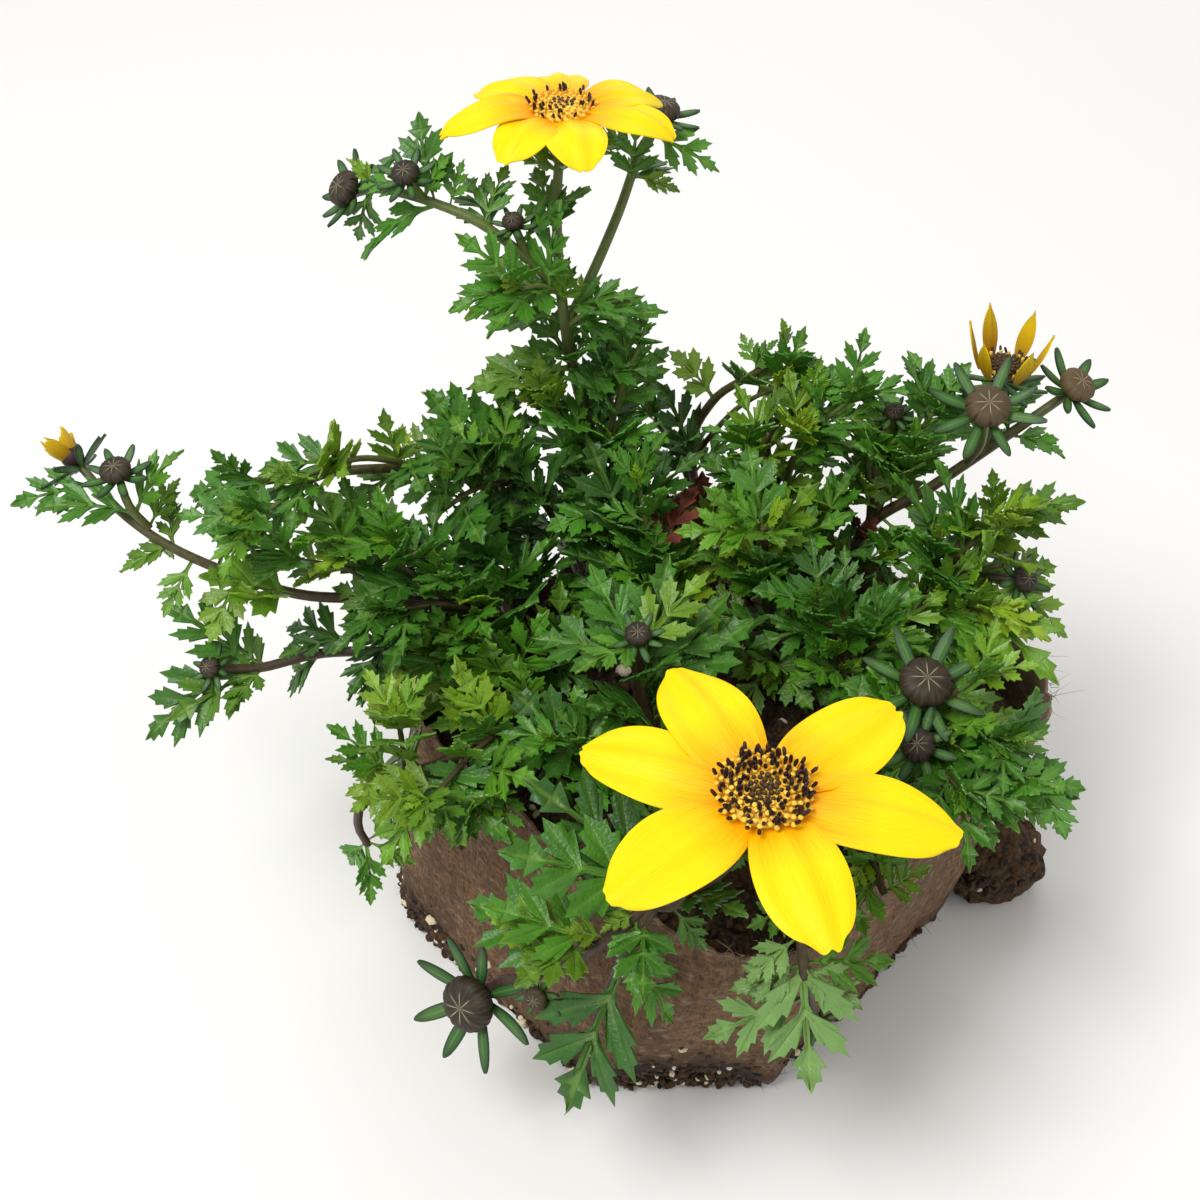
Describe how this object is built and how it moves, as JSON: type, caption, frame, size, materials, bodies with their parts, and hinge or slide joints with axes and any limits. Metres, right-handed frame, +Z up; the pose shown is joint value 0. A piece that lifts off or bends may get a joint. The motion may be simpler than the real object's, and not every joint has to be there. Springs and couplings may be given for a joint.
{
  "type": "potted bidens",
  "caption": "Young bidens in a soft fibre grow pot: pinnately cut foliage, long trailing stems, round brown buds and yellow flowers with brown centres, standing on a flat block of medium.",
  "frame": {"origin": "on the flat underside of the block of medium, below the middle of the fibre sleeve's rim", "axes": "+Z up, as it stands; -Y towards the side of the big front flower, where the picture was taken from; +X to the picture's right"},
  "size_m": [0.1564, 0.1246, 0.1254],
  "materials": {
    "leaf_green": "leaf: satin, darker old leaves, yellow-green young ones, stems purple-brown low down",
    "bud_brown": "matt dark brown inner bracts with pale seams",
    "petal_yellow": "satin petal, orange-yellow at the base, fine streaks along it",
    "floret_brown": "small florets, brown closed ones inside, yellow open ones round the edge",
    "fibre_brown": "thin felted plant fibre, matt, torn at the rim",
    "soil_dark": "moist peat and bark crumbs with pale grains"
  },
  "bodies": {
    "root": {"bud_01": "bud_brown", "bud_02": "bud_brown", "bud_03": "bud_brown", "bud_04": "bud_brown", "bud_05": "bud_brown", "bud_06": "bud_brown", "bud_07": "bud_brown", "bud_08": "bud_brown", "bud_09": "bud_brown", "bud_10": "bud_brown", "bud_11": "bud_brown", "bud_12": "bud_brown", "bud_13": "bud_brown", "bud_14": "bud_brown", "bud_15": "bud_brown", "bud_16": "bud_brown", "fibre_sleeve": "fibre_brown", "front_flower_disc": "floret_brown", "front_flower_rays": "petal_yellow", "growing_medium": "soil_dark", "half_open_disc": "floret_brown", "half_open_rays": "petal_yellow", "opening_bud": "petal_yellow", "soil_lump": "soil_dark", "stem_back_left": "leaf_green", "stem_back_middle": "leaf_green", "stem_back_right": "leaf_green", "stem_centre": "leaf_green", "stem_centre_back": "leaf_green", "stem_centre_right": "leaf_green", "stem_front": "leaf_green", "stem_front_left": "leaf_green", "stem_front_right": "leaf_green", "stem_inner_left": "leaf_green", "stem_inner_right": "leaf_green", "stem_left_high": "leaf_green", "stem_left_long": "leaf_green", "stem_left_low": "leaf_green", "stem_left_rim": "leaf_green", "stem_right": "leaf_green", "stem_right_front": "leaf_green", "stem_right_long": "leaf_green", "stem_right_middle": "leaf_green", "stem_top_flower": "leaf_green", "top_flower_disc": "floret_brown", "top_flower_rays": "petal_yellow"}
  },
  "joints": []
}
